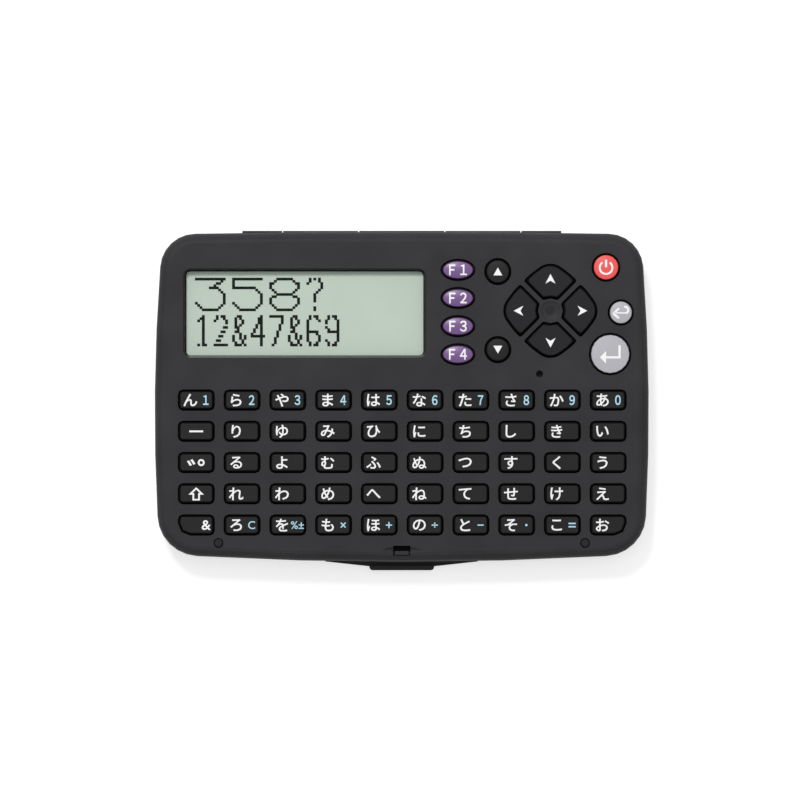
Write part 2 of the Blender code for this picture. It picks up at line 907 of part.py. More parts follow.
def make_battery():
    """The coin cell on the door, its negative side up, and the two sprung strips on the board."""
    cell = cell_place()
    can = circle(cell_radius, door_steps)
    cap = circle(cell_radius - cell_rim_step, door_steps)
    rim_z = cell_top_z - cell_rim_height
    shape = loft(raise_loops([(cell_low_z, can), (rim_z, can), (rim_z, cap), (cell_top_z, cap)], cell))
    settle(shape, "coin_cell", steel)

    seat_z = board_bottom_z - fit_gap
    touch_z = cell_top_z + fit_gap
    half = contact_length / 2
    strip = [
        (-half, touch_z + contact_strip),
        (-half, touch_z),
        (0, touch_z),
        (half - contact_foot, seat_z - contact_strip),
        (half, seat_z - contact_strip),
        (half, seat_z),
        (half - contact_foot, seat_z),
        (0, touch_z + contact_strip),
    ]
    settle(make_strip(strip, cell), "battery_contact_minus", steel)

    edge = cell_radius + fit_gap
    foot_z = door_neck_top + fit_gap
    strip = [
        (edge, foot_z),
        (edge + contact_strip, foot_z),
        (edge + contact_strip, seat_z - contact_strip),
        (edge + contact_foot, seat_z - contact_strip),
        (edge + contact_foot, seat_z),
        (edge, seat_z),
    ]
    settle(make_strip(strip, cell), "battery_contact_plus", steel)


def make_strip(section, place):
    """A bent strip whose profile runs in X and Z, as wide as the battery contacts."""
    near = place[1] - contact_width / 2
    far = place[1] + contact_width / 2
    return loft([[Vector((place[0] + x, y, z)) for x, z in reversed(section)] for y in (near, far)])


def make_board():
    """The circuit board, cut round the bosses and the hinge, with the reset contact's post."""
    shape = loft([body_ring(board_edge_gap, z) for z in (board_bottom_z, board_top_z)])
    low = board_bottom_z - overrun
    high = board_top_z + overrun
    cut(shape, hinge_block(side_wall + fit_gap, low, high))
    cut(shape, *bosses(rear_boss_radius + boss_clearance, low, high))
    reset = control_place(reset_place_share)
    post_top = wall_inner_z - 2 * fit_gap
    fuse(
        shape,
        cylinder(reset_post_radius, pin_steps, reset, board_top_z - board_thickness / 2, post_top),
    )
    settle(shape, "circuit_board", board_green)


def make_membrane():
    """The rubber sheet under all keys. It ends short of the display and of the hinge."""
    shape = loft([body_ring(membrane_edge_gap, z) for z in (membrane_bottom_z, membrane_top_z)])
    low = membrane_bottom_z - overrun
    high = membrane_top_z + overrun
    border = key_flange_margin + membrane_key_border
    modes_left = mode_place(0).x - mode_opening_width / 2 - key_flange_margin
    cut(shape, block((-body_width, modes_left), (field_top + border, body_height), (low, high)))
    cut(shape, hinge_block(side_wall + fit_gap, low, high))
    cut(shape, *bosses(rear_boss_radius + boss_clearance, low, high))
    catch_x = latch_width / 2 + latch_wall + fit_gap
    catch_top = latch_y + latch_height / 2 + latch_wall + fit_gap
    cut(shape, block((-catch_x, catch_x), (-body_height, catch_top), (low, high)))
    hole = reset_post_radius + fit_gap
    cut(shape, cylinder(hole, pin_steps, control_place(reset_place_share), low, high))
    settle(shape, "key_membrane", rubber_grey)


def make_display():
    """The clear window behind its opening, the display under it, and the strip that feeds it."""
    place = control_place(window_place_share)
    window_top = wall_inner_z - fit_gap
    window_low = window_top - window_thickness
    pane = window_outline(window_margin)
    settle(prism(moved(pane, place), window_low, window_top), "lcd_window", clear)

    width = window_opening_width + 2 * display_margin
    height = window_opening_height + 2 * display_margin
    low = window_low - fit_gap - display_thickness
    glass = rounded_rectangle(width, height, (fit_gap,) * 4, 1)
    settle(prism(moved(glass, place), low, low + display_thickness), "lcd_panel", display_green)

    edge = place.y - height / 2 - fit_gap
    half = window_opening_width / 2 - connector_inset
    shape = block(
        (place.x - half, place.x + half),
        (edge - connector_width, edge),
        (board_top_z + fit_gap, low + display_thickness),
    )
    settle(shape, "lcd_connector", rubber_black)


def make_bumpers():
    """Two rubber dots that keep the lid off the keys."""
    radius = bumper_recess_radius - bumper_gap
    low = face_z - bumper_recess_depth + fit_gap
    for name, side in (("bumper_left", -1), ("bumper_right", 1)):
        rim = circle(radius, knuckle_steps)
        crown = circle(radius - bumper_proud, knuckle_steps)
        sections = [(low, rim), (face_z, rim), (face_z + bumper_proud, crown)]
        shape = loft(raise_loops(sections, (side * bumper_x, bumper_y)))
        settle(shape, name, rubber_black)


def make_hinge():
    """The link, whose plate lies beside the line of its two pins, and the pins themselves."""
    outer_y = hinge_y - link_offset - link_plate
    inner_y = hinge_y - link_offset
    reach = knuckle_radius * web_share
    plate_top = body_axis_z - knuckle_radius - fit_gap
    plate_low = lid_outer_z + fit_gap
    profile = [
        Vector((outer_y + link_edge, plate_low)),
        Vector((inner_y, plate_low)),
        Vector((inner_y, plate_top)),
        Vector((outer_y + link_edge, plate_top)),
        Vector((outer_y, plate_top - link_edge)),
        Vector((outer_y, plate_low + link_edge)),
    ]
    shape = bar(profile, -hinge_width / 2, hinge_width / 2)
    for x_range in link_knuckle_ranges():
        arm = [
            Vector((outer_y + link_edge, lid_axis_z)),
            Vector((hinge_y, lid_axis_z)),
            Vector((hinge_y, lid_axis_z + reach)),
            Vector((inner_y - link_plate / 2, lid_axis_z + reach)),
            Vector((inner_y - link_plate / 2, body_axis_z - reach)),
            Vector((hinge_y, body_axis_z - reach)),
            Vector((hinge_y, body_axis_z)),
            Vector((outer_y + link_edge, body_axis_z)),
            Vector((outer_y, body_axis_z - link_edge)),
            Vector((outer_y, lid_axis_z + link_edge)),
        ]
        fuse(shape, bar(arm, *x_range))
        fuse(shape, knuckle(x_range, body_axis_z), knuckle(x_range, lid_axis_z))
    cut(shape, pin_hole(body_axis_z), pin_hole(lid_axis_z))
    settle(shape, "hinge_link", lid_black, Vector((0, hinge_y, body_axis_z)))
    for name, axis_z in (("hinge_pin_body", body_axis_z), ("hinge_pin_lid", lid_axis_z)):
        pin = bar(circle(pin_radius, pin_steps, (hinge_y, axis_z)), -hinge_width / 2, hinge_width / 2)
        settle(pin, name, steel, Vector((0, hinge_y, axis_z)))


def make_lid():
    """The dished lid: its plate, its rim, the hook, the flare and tab, and its hinge knuckles."""
    shoulder_z = lid_outer_z - lid_edge_radius
    sections = [body_ring(0, 0, lid_overhang)]
    for step in range(edge_steps + 1):
        angle = math.pi / 2 * step / edge_steps
        inset = lid_edge_radius * (1 - math.cos(angle))
        sections.append(body_ring(inset, shoulder_z + lid_edge_radius * math.sin(angle), lid_overhang))
    shape = loft(sections)

    rim = rim_edge - lid_overhang
    sections = [body_ring(rim, -overrun)]
    for step in range(edge_steps + 1):
        angle = math.pi / 2 * step / edge_steps
        inset = rim + (rim_root - rim) * (1 - math.cos(angle))
        sections.append(body_ring(inset, lid_dish_depth * math.sin(angle)))
    cut(shape, loft(sections))
    rim_end = top_y - rim_end_from_top
    cut(shape, block((-body_width, body_width), (rim_end, body_height), (-overrun, lid_dish_depth)))

    low_y = -body_height / 2
    flare = [
        Vector((-flare_half_width, low_y + overrun)),
        Vector((-flare_half_width, low_y - lid_overhang / 2)),
        Vector((-flare_flat_half_width, low_y - flare_reach)),
        Vector((flare_flat_half_width, low_y - flare_reach)),
        Vector((flare_half_width, low_y - lid_overhang / 2)),
        Vector((flare_half_width, low_y + overrun)),
    ]
    tab_low = lid_outer_z - tab_thickness
    fuse(shape, prism(flare, tab_low, lid_outer_z - fit_gap))
    length = tab_reach + overrun
    tab = rounded_rectangle(2 * tab_half_width, length, (tab_corner, 0, 0, tab_corner), 2)
    middle = (0, low_y - tab_reach + length / 2)
    fuse(shape, prism(moved(unique(tab), middle), tab_low + fit_gap, lid_outer_z - fit_gap / 2))
    lip = rounded_rectangle(2 * tab_half_width, tab_lip, (tab_corner, 0, 0, tab_corner), 2)
    middle = (0, low_y - tab_reach + tab_lip / 2)
    fuse(shape, prism(moved(unique(lip), middle), tab_low + 2 * fit_gap, lid_outer_z + tab_lip_height))

    hook_y = latch_y + latch_height / 2 - fit_gap - hook_thickness / 2
    half = hook_thickness / 2
    width = hook_width / 2
    root_z = lid_dish_depth + lid_plate / 2
    fuse(shape, block((-width, width), (hook_y - half, hook_y + half), (0, root_z)))

    low, high = -overrun, lid_outer_z + overrun
    cut(shape, block((-notch_half_width, notch_half_width), (hinge_y, body_height), (low, high)))
    for left, right in link_knuckle_ranges():
        x_range = (left - fit_gap, right + fit_gap)
        cut(shape, block(x_range, (notch_depth_y, body_height), (low, high)))
    for x_range in fixed_knuckle_ranges():
        fuse(shape, knuckle(x_range, lid_axis_z))
    cut(shape, pin_hole(lid_axis_z))
    settle(shape, "lid", lid_black, Vector((0, hinge_y, lid_axis_z)))


def unique(points):
    """The same points without repeats, as a square corner has one point."""
    kept = []
    for point in points:
        if not kept or (point - kept[-1]).length > least_step:
            kept.append(point)
    return kept


make_front_case()
make_rear_case()
make_battery_door()
make_battery()
make_board()
make_membrane()
make_display()
make_bumpers()
make_hinge()
make_lid()
for key_name, key_outline, key_place, key_finish in single_keys:
    make_key(key_name, key_outline, key_place, key_finish, key_flange_margin)
for key_name, key_outline, key_place, key_finish in arrow_keys:
    make_key(key_name, key_outline, key_place, key_finish, wedge_flange_margin)
for key_column in range(column_count):
    number = key_column + 1
    make_key(
        f"key_digit_{number % column_count}",
        letter_outline,
        (column_x(key_column), row_y(0)),
        key_black,
        key_flange_margin,
    )
    make_letter_pair(f"key_pair_upper_{number}", key_column, 1)
    make_letter_pair(f"key_pair_lower_{number}", key_column, 3)
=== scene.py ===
import math

import bpy
from mathutils import Color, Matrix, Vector


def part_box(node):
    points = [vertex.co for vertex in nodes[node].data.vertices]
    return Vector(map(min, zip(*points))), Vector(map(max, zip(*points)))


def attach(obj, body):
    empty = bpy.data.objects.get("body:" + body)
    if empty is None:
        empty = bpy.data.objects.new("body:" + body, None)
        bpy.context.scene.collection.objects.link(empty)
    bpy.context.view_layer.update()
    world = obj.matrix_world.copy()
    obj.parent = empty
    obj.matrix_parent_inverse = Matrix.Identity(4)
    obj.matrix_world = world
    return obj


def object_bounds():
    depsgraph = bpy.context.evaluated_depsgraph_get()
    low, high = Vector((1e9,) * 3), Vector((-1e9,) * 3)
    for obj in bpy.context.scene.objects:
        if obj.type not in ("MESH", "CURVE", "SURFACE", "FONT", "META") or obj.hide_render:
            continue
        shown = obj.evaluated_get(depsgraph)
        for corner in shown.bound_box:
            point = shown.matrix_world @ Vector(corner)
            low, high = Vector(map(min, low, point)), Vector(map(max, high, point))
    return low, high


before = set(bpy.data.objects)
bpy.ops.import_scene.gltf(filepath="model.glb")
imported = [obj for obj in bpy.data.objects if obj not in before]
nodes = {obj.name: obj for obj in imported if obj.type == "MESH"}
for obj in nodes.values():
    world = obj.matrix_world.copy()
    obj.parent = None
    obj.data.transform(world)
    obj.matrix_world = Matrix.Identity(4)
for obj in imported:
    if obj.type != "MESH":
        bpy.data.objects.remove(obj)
cad_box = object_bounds()
bpy.ops.object.select_all(action="DESELECT")

# The table, the lamps and the camera. The dictionary lies face up on a pale table under a soft lamp that
# hangs beyond its hinge edge, and the camera looks straight down on it through a long lens.
table_width = 4.0
table_grey = 0.60
table_roughness = 0.9
table_shine = 0.1
table_glow = 0.62
room_light = 0.34
picture_width = 0.19148
picture_centre = (-0.00042, 0.00019)
lens_length = 250.0
film_width = 36.0
nearest_seen = 0.01
box_low, box_high = cad_box


def new_finish(name):
    """A new material. Gives back the material, its node tree and its shader."""
    finish = bpy.data.materials.new(name)
    finish.use_nodes = True
    return finish, finish.node_tree, finish.node_tree.nodes["Principled BSDF"]


def feed(tree, socket, given):
    """Gives an input a value, or joins it to the output of another node."""
    if isinstance(given, bpy.types.NodeSocket):
        tree.links.new(given, socket)
    else:
        socket.default_value = given


def add_math(tree, operation, first, second):
    """A step of arithmetic on two numbers or outputs."""
    step = tree.nodes.new("ShaderNodeMath")
    step.operation = operation
    feed(tree, step.inputs[0], first)
    feed(tree, step.inputs[1], second)
    return step.outputs["Value"]


bpy.ops.mesh.primitive_plane_add(size=table_width, location=(0, 0, box_low.z))
table = bpy.context.object
table.name = "table"
bpy.ops.object.transform_apply(location=True)
table_white, tree, shader = new_finish("table_white")
feed(tree, shader.inputs["Base Color"], (table_grey, table_grey, table_grey, 1))
feed(tree, shader.inputs["Roughness"], table_roughness)
feed(tree, shader.inputs["Specular IOR Level"], table_shine)
path = tree.nodes.new("ShaderNodeLightPath")
seen = add_math(tree, "MAXIMUM", path.outputs["Is Camera Ray"], path.outputs["Is Glossy Ray"])
seen = add_math(tree, "MAXIMUM", seen, path.outputs["Is Transmission Ray"])
glow = tree.nodes.new("ShaderNodeEmission")
feed(tree, glow.inputs["Color"], (1, 1, 1, 1))
feed(tree, glow.inputs["Strength"], add_math(tree, "MULTIPLY", seen, table_glow))
glowing = tree.nodes.new("ShaderNodeAddShader")
feed(tree, glowing.inputs[0], shader.outputs["BSDF"])
feed(tree, glowing.inputs[1], glow.outputs["Emission"])
feed(tree, tree.nodes["Material Output"].inputs["Surface"], glowing.outputs["Shader"])
table.data.materials.append(table_white)

room = bpy.data.worlds.new("room")
room.use_nodes = True
room_air = room.node_tree.nodes["Background"]
room_air.inputs["Color"].default_value = (1, 1, 1, 1)
room_air.inputs["Strength"].default_value = room_light
bpy.context.scene.world = room


def hang_lamp(name, place, width, power):
    """A square soft lamp that faces the dictionary."""
    bpy.ops.object.light_add(type="AREA", location=place)
    lamp = bpy.context.object
    lamp.name = name
    lamp.data.shape = "SQUARE"
    lamp.data.size = width
    lamp.data.energy = power
    lamp.rotation_euler = Vector(place).to_track_quat("Z", "Y").to_euler()
    return lamp


hang_lamp("main_lamp", place=(-0.20, 0.52, 0.93), width=0.22, power=6.8)
high_fill = hang_lamp("high_fill", place=(0.10, 0.10, 1.02), width=0.60, power=2.2)
high_fill.visible_glossy = False

camera_height = box_high.z + picture_width * lens_length / film_width
bpy.ops.object.camera_add(location=(*picture_centre, camera_height), rotation=(0, 0, 0))
camera = bpy.context.object
camera.data.lens = lens_length
camera.data.sensor_width = film_width
camera.data.clip_start = nearest_seen
bpy.context.scene.camera = camera
bpy.context.scene.view_settings.view_transform = "Standard"

# The rear case: the tray that holds the board, the coin cell and the hinge's fixed knuckles. It is moulded
# in black plastic with a fine spark-eroded grain, like the front case and the battery door.


def from_screen(*values):
    """A colour in the renderer's linear values from the 0 to 255 values of a screen."""
    return tuple(Color([value / 255 for value in values]).from_srgb_to_scene_linear())


def add_noise(tree, place, scale, detail):
    """A fine random pattern over the places in a piece."""
    noise = tree.nodes.new("ShaderNodeTexNoise")
    feed(tree, noise.inputs["Scale"], scale)
    feed(tree, noise.inputs["Detail"], detail)
    feed(tree, noise.inputs["Vector"], place)
    return noise.outputs["Fac"]


def add_range(tree, value, given_ends, made_ends):
    """Turns a value between two ends into one between two others."""
    turned = tree.nodes.new("ShaderNodeMapRange")
    feed(tree, turned.inputs["Value"], value)
    for name, end in zip(("From Min", "From Max", "To Min", "To Max"), (*given_ends, *made_ends)):
        feed(tree, turned.inputs[name], end)
    return turned.outputs["Result"]


def moulded(name, colour, roughness, grain, depth, tone=0.10, shine=0.2):
    """A moulded plastic or rubber: grain of a real size in its surface, and a slight change of tone."""
    grain_detail = 3
    grain_strength = 0.6
    cloud_scale = 90
    cloud_detail = 2
    cloud_ends = (0.3, 0.7)
    roughness_play = 0.06
    finish, tree, shader = new_finish(name)
    feed(tree, shader.inputs["Specular IOR Level"], shine)
    place = tree.nodes.new("ShaderNodeTexCoord").outputs["Object"]
    grains = add_noise(tree, place, 1 / grain, grain_detail)
    bump = tree.nodes.new("ShaderNodeBump")
    feed(tree, bump.inputs["Distance"], depth)
    feed(tree, bump.inputs["Strength"], grain_strength)
    feed(tree, bump.inputs["Height"], grains)
    feed(tree, shader.inputs["Normal"], bump.outputs["Normal"])
    shade = tree.nodes.new("ShaderNodeValToRGB")
    for end, position, change in zip(shade.color_ramp.elements, cloud_ends, (1 - tone, 1 + tone)):
        end.position = position
        end.color = (*[value * change for value in colour], 1)
    feed(tree, shade.inputs["Fac"], add_noise(tree, place, cloud_scale, cloud_detail))
    feed(tree, shader.inputs["Base Color"], shade.outputs["Color"])
    rough = add_range(tree, grains, (0, 1), (roughness - roughness_play, roughness + roughness_play))
    feed(tree, shader.inputs["Roughness"], rough)
    return finish


def finish_node(name, finish):
    """Gives a part of the frame its finish."""
    nodes[name].material_slots[0].material = finish


case_black = moulded(
    "case_black", from_screen(53, 52, 54), roughness=0.55, grain=0.00022, depth=0.00002, shine=0.08
)
finish_node("rear_case", case_black)

# The screws: six small ones of plain steel with cross recesses in their heads. They sit in the rear case's
# bosses and hold the two cases together.
screw_radius = 0.00125
screw_depth = 0.0007
screw_inset = 0.0012
screw_sides = 24
screw_edge = 0.0002
screw_edge_steps = 2
recess_size = (0.0016, 0.0003, 0.0007)
screw_places = [(-0.0439, -0.03485), (0.0439, -0.03485), (-0.0554, 0.00535), (0.0554, 0.00535),
                (-0.0480, 0.03585), (0.0445, 0.03585)]


def metal(name, colour, roughness, brush):
    """A bare metal with fine marks of the tool that made it, drawn out along X."""
    marks_drawn_out = (0.15, 1, 1)
    marks_detail = 4
    marks_shade = 0.85
    roughness_less = 0.08
    roughness_more = 0.10
    finish, tree, shader = new_finish(name)
    feed(tree, shader.inputs["Metallic"], 1)
    along = tree.nodes.new("ShaderNodeMapping")
    feed(tree, along.inputs["Scale"], marks_drawn_out)
    feed(tree, along.inputs["Vector"], tree.nodes.new("ShaderNodeTexCoord").outputs["Object"])
    marks = add_noise(tree, along.outputs["Vector"], 1 / brush, marks_detail)
    shade = tree.nodes.new("ShaderNodeValToRGB")
    shade.color_ramp.elements[0].color = (*[value * marks_shade for value in colour], 1)
    shade.color_ramp.elements[1].color = (*colour, 1)
    feed(tree, shade.inputs["Fac"], marks)
    feed(tree, shader.inputs["Base Color"], shade.outputs["Color"])
    rough = add_range(tree, marks, (0, 1), (roughness - roughness_less, roughness + roughness_more))
    feed(tree, shader.inputs["Roughness"], rough)
    return finish


def pick(piece):
    """Selects one piece alone and makes it the active one."""
    bpy.ops.object.select_all(action="DESELECT")
    piece.select_set(True)
    bpy.context.view_layer.objects.active = piece


def copy_piece(first, shift):
    """A copy of a piece with its own mesh, moved to its place."""
    pick(first)
    bpy.ops.object.duplicate(linked=False)
    copy = bpy.context.object
    for corner in copy.data.vertices:
        corner.co += Vector(shift)
    return copy


screw_steel = metal("screw_steel", (0.45, 0.45, 0.46), roughness=0.35, brush=0.0002)
screw_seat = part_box("rear_case")[0].z + screw_inset
first_x, first_y = screw_places[0]
bpy.ops.mesh.primitive_cylinder_add(
    vertices=screw_sides, radius=screw_radius, depth=screw_depth, location=(first_x, first_y, screw_seat)
)
first_screw = bpy.context.object
bpy.ops.object.mode_set(mode="EDIT")
bpy.ops.mesh.select_all(action="SELECT")
bpy.ops.mesh.bevel(offset=screw_edge, segments=screw_edge_steps, affect="EDGES")
bpy.ops.object.mode_set(mode="OBJECT")
for turn in (0, math.pi / 2):
    bpy.ops.mesh.primitive_cube_add(size=1, location=(first_x, first_y, screw_seat - screw_depth / 2))
    blade = bpy.context.object
    blade.scale = recess_size
    blade.rotation_euler.z = turn
    bpy.ops.object.transform_apply(location=True, rotation=True, scale=True)
    recess = first_screw.modifiers.new("recess", "BOOLEAN")
    recess.operation = "DIFFERENCE"
    recess.object = blade
    pick(first_screw)
    bpy.ops.object.modifier_apply(modifier="recess")
    bpy.data.objects.remove(blade)
bpy.ops.object.transform_apply(location=True)
screws = [first_screw]
screws += [copy_piece(first_screw, (x - first_x, y - first_y, 0)) for x, y in screw_places[1:]]
for number, screw in enumerate(screws, 1):
    screw.name = f"screw_{number}"
    screw.data.materials.append(screw_steel)
    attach(screw, "housing")

# The battery: a coin cell in its bay in the rear case, and the two strips that touch its poles, which are
# stamped from sprung steel and bent.
cell_steel = metal("cell_steel", (0.62, 0.62, 0.63), roughness=0.28, brush=0.0006)
finish_node("coin_cell", cell_steel)
finish_node("battery_contact_plus", cell_steel)
finish_node("battery_contact_minus", cell_steel)

# The battery door: a round cover over the coin cell, moulded in the rear case's plastic. A coin in its slot
# turns it, and its lugs catch behind a ring in the rear case.
finish_node("battery_door", case_black)

# The circuit board: a glass-fibre sheet under a green solder mask, which lies on posts in the rear case. The
# post of the reset contact, which stands up to the display's level, is of black carbon.
mask_green = (0.012, 0.120, 0.045)
contact_black = (0.006, 0.006, 0.006, 1)


def object_height(tree):
    """The height of each place in a piece."""
    parted = tree.nodes.new("ShaderNodeSeparateXYZ")
    feed(tree, parted.inputs["Vector"], tree.nodes.new("ShaderNodeTexCoord").outputs["Object"])
    return parted.outputs["Z"]


def lay_over(finish, share, colour):
    """Lays a plain colour over a finish's own colour, by a share that differs from place to place."""
    tree = finish.node_tree
    base = tree.nodes["Principled BSDF"].inputs["Base Color"]
    own_colour = base.links[0].from_socket
    mix = tree.nodes.new("ShaderNodeMix")
    mix.data_type = "RGBA"
    feed(tree, mix.inputs["Factor"], share)
    feed(tree, mix.inputs["A"], own_colour)
    feed(tree, mix.inputs["B"], colour)
    feed(tree, base, mix.outputs["Result"])


board_mask = moulded("board_mask", mask_green, roughness=0.40, grain=0.0006, depth=0.00001, tone=0.25)
contact_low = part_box("lcd_panel")[0].z
tree = board_mask.node_tree
lay_over(board_mask, add_math(tree, "GREATER_THAN", object_height(tree), contact_low), contact_black)
finish_node("circuit_board", board_mask)

# The key membrane: one sheet of black silicone rubber, pressed to shape in a hot mould. It lies between the
# board and the flanges of the keys.
silicone_black = (0.004, 0.004, 0.004)
sheet_silicone = moulded(
    "sheet_silicone", silicone_black, roughness=0.85, grain=0.0004, depth=0.00001, shine=0.05
)
finish_node("key_membrane", sheet_silicone)

# The display panel: two sheets of glass with liquid crystal between them and a grey-green film behind. The
# black rubber strip below it joins it to the board.
strip_black = (0.030, 0.030, 0.030)
panel_green = moulded(
    "panel_green", from_screen(200, 215, 201), roughness=0.45, grain=0.0004, depth=0.000002, tone=0.02,
    shine=0.3
)
finish_node("lcd_panel", panel_green)
strip_rubber = moulded("strip_rubber", strip_black, roughness=0.70, grain=0.0003, depth=0.00001)
finish_node("lcd_connector", strip_rubber)

# The shown signs: dark square dots of the panel, which make up plain digits in two rows. Each dot is grown a
# little to the right and down by a painted shadow, where it would cast one on the film behind it.
digit_strokes = {
    "1": [[(1, 5), (2, 6), (2, 0)], [(1, 0), (3, 0)]],
    "2": [[(0, 5), (1, 6), (3, 6), (4, 5), (4, 4), (0, 0), (4, 0)]],
    "3": [[(0, 6), (4, 6), (2, 4), (3, 4), (4, 3), (4, 1), (3, 0), (1, 0), (0, 1)]],
    "4": [[(3, 0), (3, 6), (0, 2), (4, 2)]],
    "5": [[(4, 6), (0, 6), (0, 4), (3, 4), (4, 3), (4, 1), (3, 0), (1, 0), (0, 1)]],
    "6": [[(4, 5), (3, 6), (1, 6), (0, 5), (0, 1), (1, 0), (3, 0), (4, 1), (4, 2), (3, 3), (0, 3)]],
    "7": [[(0, 6), (4, 6), (4, 5), (1, 0)]],
    "8": [[(1, 3), (0, 2), (0, 1), (1, 0), (3, 0), (4, 1), (4, 2), (3, 3), (1, 3), (0, 4), (0, 5), (1, 6),
           (3, 6), (4, 5), (4, 4), (3, 3)]],
    "9": [[(0, 1), (1, 0), (3, 0), (4, 1), (4, 5), (3, 6), (1, 6), (0, 5), (0, 4), (1, 3), (4, 3)]],
    "&": [[(2.4, 6), (1.6, 6), (0.8, 5.1), (0.8, 4.4), (4, 0)],
          [(2.4, 6), (3.2, 5.1), (3.2, 4.6), (0, 2.2), (0, 0.9), (0.8, 0), (2.2, 0), (4, 2.2)]],
    "?": [[(0, 5), (1, 6), (3, 6), (4, 5), (4, 4), (2, 3), (2, 1.6)], [(2, 0), (2, 0.1)]],
}
stroke_top = 6
# Each row of the display: its signs, its first line of dots, a sign's first columns, and how many dots
# one step of a stroke goes across and up.
display_rows = [
    ("358?", 0, (0, 16, 32, 48), ((3.0, 2.25), (3.0, 2.25), (3.0, 2.25), (1.5, 2.25))),
    ("12&47&69", 17, (0, 8, 16, 24, 32, 40, 48, 56), ((1.25, 2.25),) * 8),
]
sign_margin = 1
dot_columns = 96
dot_lines = 33
dot_width = 0.000557
dot_height = 0.000527
dot_cells = 4
dot_lift = 0.00004
shown_from_left = 0.0018
shown_from_top = 0.0018
opening_margin = 0.0020
window_low, window_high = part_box("lcd_window")
opening_low = window_low + Vector((opening_margin, opening_margin, 0))
opening_high = window_high - Vector((opening_margin, opening_margin, 0))
dots_left = opening_low.x + shown_from_left
dots_top = opening_high.y - shown_from_top
dots_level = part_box("lcd_panel")[1].z + dot_lift

lit = set()
for signs, first_line, first_columns, steps in display_rows:
    for sign, first_column, (across, up) in zip(signs, first_columns, steps):
        for stroke in digit_strokes[sign]:
            for (x0, y0), (x1, y1) in zip(stroke, stroke[1:]):
                count = max(1, round(max(abs(x1 - x0) * across, abs(y1 - y0) * up)))
                for step in range(count + 1):
                    share = step / count
                    column = first_column + sign_margin + (x0 + (x1 - x0) * share) * across
                    line = first_line + (stroke_top - y0 - (y1 - y0) * share) * up
                    lit.add((round(column), round(line)))
# Each lit dot's cells, and one more row and column of cells to the right and below as painted shadow.
inked_and_shadowed = {
    (column * dot_cells + across, line * dot_cells + down)
    for column, line in lit for across in range(dot_cells + 1) for down in range(dot_cells + 1)
}
grid_columns = dot_columns * dot_cells + 1
grid_lines = dot_lines * dot_cells + 1
grid_width = grid_columns * dot_width / dot_cells
grid_height = grid_lines * dot_height / dot_cells
bpy.ops.mesh.primitive_grid_add(x_subdivisions=grid_columns, y_subdivisions=grid_lines, size=1)
shown_dots = bpy.context.object
shown_dots.name = "shown_dots"
shown_dots.scale = (grid_width, grid_height, 1)
shown_dots.location = (dots_left + grid_width / 2, dots_top - grid_height / 2, dots_level)
bpy.ops.object.transform_apply(location=True, rotation=True, scale=True)
bpy.ops.object.mode_set(mode="EDIT")
bpy.ops.mesh.select_mode(type="FACE")
bpy.ops.mesh.select_all(action="DESELECT")
bpy.ops.object.mode_set(mode="OBJECT")
for face in shown_dots.data.polygons:
    across = int((face.center.x - dots_left) / dot_width * dot_cells)
    down = int((dots_top - face.center.y) / dot_height * dot_cells)
    face.select = (across, down) not in inked_and_shadowed
bpy.ops.object.mode_set(mode="EDIT")
bpy.ops.mesh.delete(type="FACE")
bpy.ops.object.mode_set(mode="OBJECT")
dot_ink_and_shadow = moulded(
    "dot_ink_and_shadow", from_screen(10, 16, 12), roughness=0.8, grain=0.0004, depth=0.000002, tone=0.05, shine=0.05
)
shown_dots.data.materials.append(dot_ink_and_shadow)
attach(shown_dots, "housing")

# The window: a flat sheet of clear acrylic, cut to size and fixed behind the opening in the front case,
# where it covers the display.
window_tint = (0.10, 0.11, 0.10, 1)
window_roughness = 0.04
window_cover = 0.05
window_acrylic, tree, shader = new_finish("window_acrylic")
feed(tree, shader.inputs["Base Color"], window_tint)
feed(tree, shader.inputs["Roughness"], window_roughness)
feed(tree, shader.inputs["Alpha"], window_cover)
finish_node("lcd_window", window_acrylic)

# The window's bead: a thin glossy black line of lacquer in the bevel of the front case's opening, which
# slopes down to the window all round.
frame_play = 0.00002
bevel_width = 0.0004
bead_corner = 0.0015
bead_slope_width = 0.00038
bead_rise = 0.00009
corner_steps = 6
face_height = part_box("front_case")[1].z
bead_top = face_height - frame_play
opening_size = opening_high - opening_low
opening_middle = (opening_high + opening_low) / 2


def open_sheet(name, wider, height, corner):
    """A flat sheet as large as the opening and a little wider, with round corners. It stays in edit mode."""
    bpy.ops.object.select_all(action="DESELECT")
    bpy.ops.mesh.primitive_plane_add(size=1)
    sheet = bpy.context.object
    sheet.name = name
    sheet.scale = (opening_size.x + 2 * wider, opening_size.y + 2 * wider, 1)
    sheet.location = (opening_middle.x, opening_middle.y, height)
    bpy.ops.object.transform_apply(location=True, rotation=True, scale=True)
    bpy.ops.object.mode_set(mode="EDIT")
    bpy.ops.mesh.select_all(action="SELECT")
    bpy.ops.mesh.bevel(offset=corner, segments=corner_steps, affect="VERTICES")
    bpy.ops.mesh.select_mode(type="FACE")
    bpy.ops.mesh.select_all(action="SELECT")
    return sheet


window_bead = open_sheet("window_bead", bevel_width - frame_play, bead_top, bead_corner)
bpy.ops.mesh.inset(thickness=bead_slope_width)
bpy.ops.transform.translate(value=(0, 0, -bead_rise))
bpy.ops.mesh.inset(thickness=2 * frame_play)
bpy.ops.transform.translate(value=(0, 0, window_high.z + frame_play - (bead_top - bead_rise)))
bpy.ops.mesh.delete(type="FACE")
bpy.ops.object.mode_set(mode="OBJECT")
thick = window_bead.modifiers.new("thick", "SOLIDIFY")
thick.thickness = frame_play
thick.offset = -1
bpy.ops.object.modifier_apply(modifier="thick")
bead_black = moulded(
    "bead_black", from_screen(24, 26, 25), roughness=0.36, grain=0.0002, depth=0.000002, tone=0.05,
    shine=0.3
)
window_bead.data.materials.append(bead_black)
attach(window_bead, "housing")
